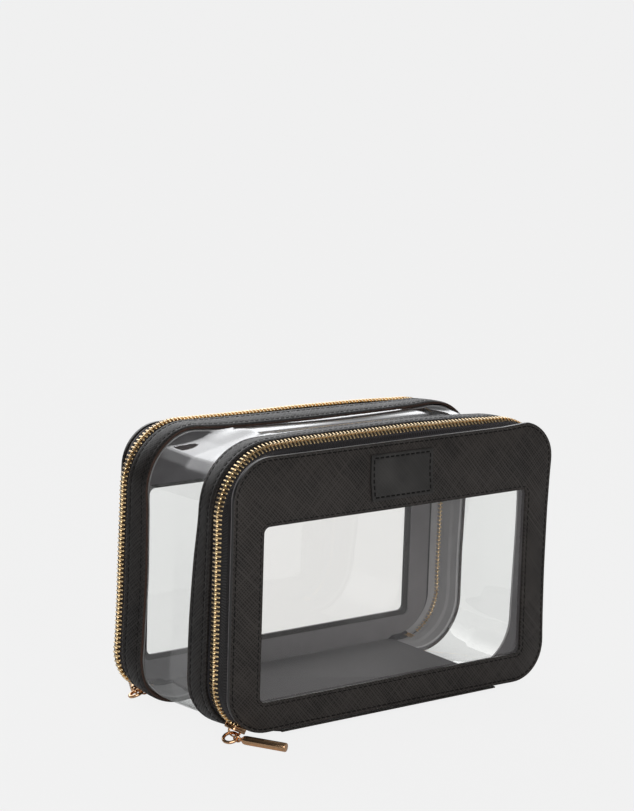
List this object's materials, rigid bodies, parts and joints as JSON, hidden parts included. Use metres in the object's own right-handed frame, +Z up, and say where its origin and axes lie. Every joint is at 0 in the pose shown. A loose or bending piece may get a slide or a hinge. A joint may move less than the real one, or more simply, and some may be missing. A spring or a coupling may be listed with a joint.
{
  "type": "clear zipped makeup bag",
  "caption": "Box-shaped clear makeup bag: two stitched leather panels with clear windows, each hinged at the base and zipped round three sides of a clear PVC gusset.",
  "frame": {"origin": "on the surface that the bag stands on, under the middle of the bag", "axes": "+X along the bag to the right as its front is faced, -Y out of the front panel, +Z up"},
  "size_m": [0.2298, 0.1502, 0.1585],
  "materials": {
    "leather": "black cross-hatch embossed leather, satin",
    "raw_edge": "dark brown painted cut edge",
    "lining": "dark grey matt lining cloth",
    "board": "black stiffening board",
    "clear_pvc": "clear glossy PVC film with a faint cool tint",
    "tape": "black woven zip tape",
    "tooth_metal": "pale gold plated zip teeth",
    "slider_metal": "polished rose gold plating"
  },
  "bodies": {
    "case": {"base_cover": "leather", "base_board": "board", "base_lining": "lining", "clear_gusset": "clear_pvc", "front_gusset_strip": "leather", "front_strip_edge": "raw_edge", "front_case_tape": "tape", "front_case_teeth": "tooth_metal", "front_end_stop": "tooth_metal", "front_hinge_strip": "leather", "rear_gusset_strip": "leather", "rear_strip_edge": "raw_edge", "rear_case_tape": "tape", "rear_case_teeth": "tooth_metal", "rear_end_stop": "tooth_metal", "rear_hinge_strip": "leather"},
    "front_flap": {"front_frame": "leather", "front_window": "clear_pvc", "front_backing": "lining", "front_flap_tape": "tape", "front_flap_teeth": "tooth_metal", "label_patch": "leather"},
    "front_slider": {"front_slider_body": "slider_metal", "front_slider_crown": "slider_metal"},
    "front_ring": {"front_pull_ring": "slider_metal"},
    "front_pull": {"front_pull_eye": "slider_metal", "front_pull_rod": "slider_metal"},
    "rear_flap": {"rear_frame": "leather", "rear_window": "clear_pvc", "rear_backing": "lining", "rear_flap_tape": "tape", "rear_flap_teeth": "tooth_metal"},
    "rear_slider": {"rear_slider_body": "slider_metal", "rear_slider_crown": "slider_metal"},
    "rear_ring": {"rear_pull_ring": "slider_metal"},
    "rear_pull": {"rear_pull_eye": "slider_metal", "rear_pull_rod": "slider_metal"}
  },
  "joints": [
    {"name": "front_flap_hinge", "type": "hinge", "parent": "case", "child": "front_flap", "pos_m": [0, -0.0537, 0.0054], "axis": [1, 0, 0], "range_deg": [0, 90]},
    {"name": "front_slider_run", "type": "hinge", "parent": "case", "child": "front_slider", "pos_m": [-0.084, -0.0437, 0.0336], "axis": [0, 1, 0], "range_deg": [0, 60]},
    {"name": "front_ring_swing", "type": "hinge", "parent": "front_slider", "child": "front_ring", "pos_m": [-0.09963, -0.0437, 0.00425], "axis": [-0.4695, 0.8829, 0], "range_deg": [0, 15]},
    {"name": "front_pull_lift", "type": "hinge", "parent": "front_ring", "child": "front_pull", "pos_m": [-0.10095, -0.04882, 0.0027], "axis": [-0.8102, -0.4308, -0.3974], "range_deg": [0, 15]},
    {"name": "rear_flap_hinge", "type": "hinge", "parent": "case", "child": "rear_flap", "pos_m": [0, 0.0537, 0.0054], "axis": [-1, 0, 0], "range_deg": [0, 90]},
    {"name": "rear_slider_run", "type": "hinge", "parent": "case", "child": "rear_slider", "pos_m": [-0.084, 0.0437, 0.0336], "axis": [0, 1, 0], "range_deg": [0, 60]},
    {"name": "rear_ring_swing", "type": "hinge", "parent": "rear_slider", "child": "rear_ring", "pos_m": [-0.09963, 0.0437, 0.00425], "axis": [0.4695, 0.8829, 0], "range_deg": [0, 15]},
    {"name": "rear_pull_lift", "type": "hinge", "parent": "rear_ring", "child": "rear_pull", "pos_m": [-0.10095, 0.04882, 0.0027], "axis": [0.8102, -0.4308, 0.3974], "range_deg": [0, 15]}
  ]
}
